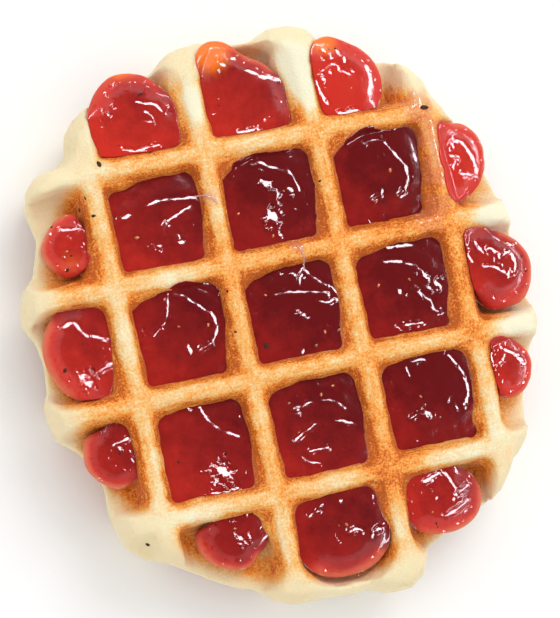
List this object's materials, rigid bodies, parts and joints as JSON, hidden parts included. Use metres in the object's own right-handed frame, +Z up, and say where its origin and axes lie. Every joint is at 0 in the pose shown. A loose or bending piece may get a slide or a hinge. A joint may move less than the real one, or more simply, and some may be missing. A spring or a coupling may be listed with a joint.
{
  "type": "belgian waffle",
  "caption": "Round Belgian waffle lying flat, deep square pockets on both faces, the upper ones filled with domed red jam.",
  "frame": {"origin": "on the supporting surface, under the middle of the waffle's outline seen from above", "axes": "+Z up; ridges run along X and Y; Y is the longer way across"},
  "size_m": [0.0986, 0.1124, 0.0231],
  "materials": {
    "crust": "golden baked batter, satin, darker at the pocket walls and cream at the rim",
    "jam": "wet glossy translucent red strawberry jam"
  },
  "bodies": {
    "root": {"waffle": "crust", "jam_01": "jam", "jam_02": "jam", "jam_03": "jam", "jam_10": "jam", "jam_11": "jam", "jam_12": "jam", "jam_13": "jam", "jam_14": "jam", "jam_20": "jam", "jam_21": "jam", "jam_22": "jam", "jam_23": "jam", "jam_24": "jam", "jam_30": "jam", "jam_31": "jam", "jam_32": "jam", "jam_33": "jam", "jam_34": "jam", "jam_41": "jam", "jam_42": "jam", "jam_43": "jam"}
  },
  "joints": []
}
